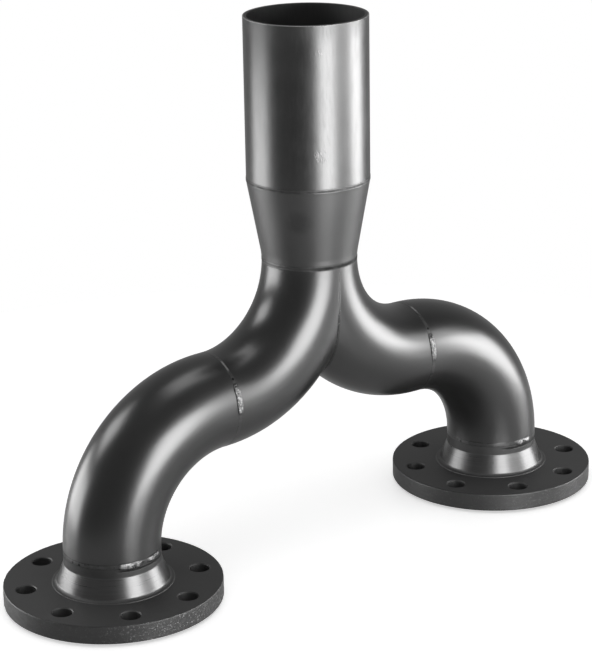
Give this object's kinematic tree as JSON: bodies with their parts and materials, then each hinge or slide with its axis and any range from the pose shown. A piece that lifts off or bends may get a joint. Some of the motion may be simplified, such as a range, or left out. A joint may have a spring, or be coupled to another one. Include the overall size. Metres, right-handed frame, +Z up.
{
  "type": "breeches pipe",
  "caption": "Breeches pipe: a vertical stem and reducer part into two curved legs, each ending in a bolted welding neck flange that faces down.",
  "frame": {"origin": "on the plane of both raised flange faces, midway between the flange axes and under the stem", "axes": "+Z up along the stem, +X along the row of the two flanges, towards the right leg; the legs lie in the XZ plane"},
  "size_m": [0.66, 0.2, 0.507],
  "materials": {
    "stem_steel": "dark mill-finish pipe, semi-gloss, lightly oiled",
    "reducer_steel": "dark grey formed fitting, dull satin",
    "bend_steel": "near-black formed bend, glossy",
    "flange_steel": "dark forged flange with a turned hub, satin",
    "weld_metal": "dark weld bead with bright specks, rough"
  },
  "bodies": {
    "root": {"stem_pipe": "stem_steel", "reducer": "reducer_steel", "stem_weld": "weld_metal", "throat_weld": "weld_metal", "crotch_weld": "weld_metal", "left_upper_elbow": "bend_steel", "left_lower_elbow": "bend_steel", "left_elbow_weld": "weld_metal", "left_flange": "flange_steel", "left_flange_weld": "weld_metal", "right_upper_elbow": "bend_steel", "right_lower_elbow": "bend_steel", "right_elbow_weld": "weld_metal", "right_flange": "flange_steel", "right_flange_weld": "weld_metal"}
  },
  "joints": []
}
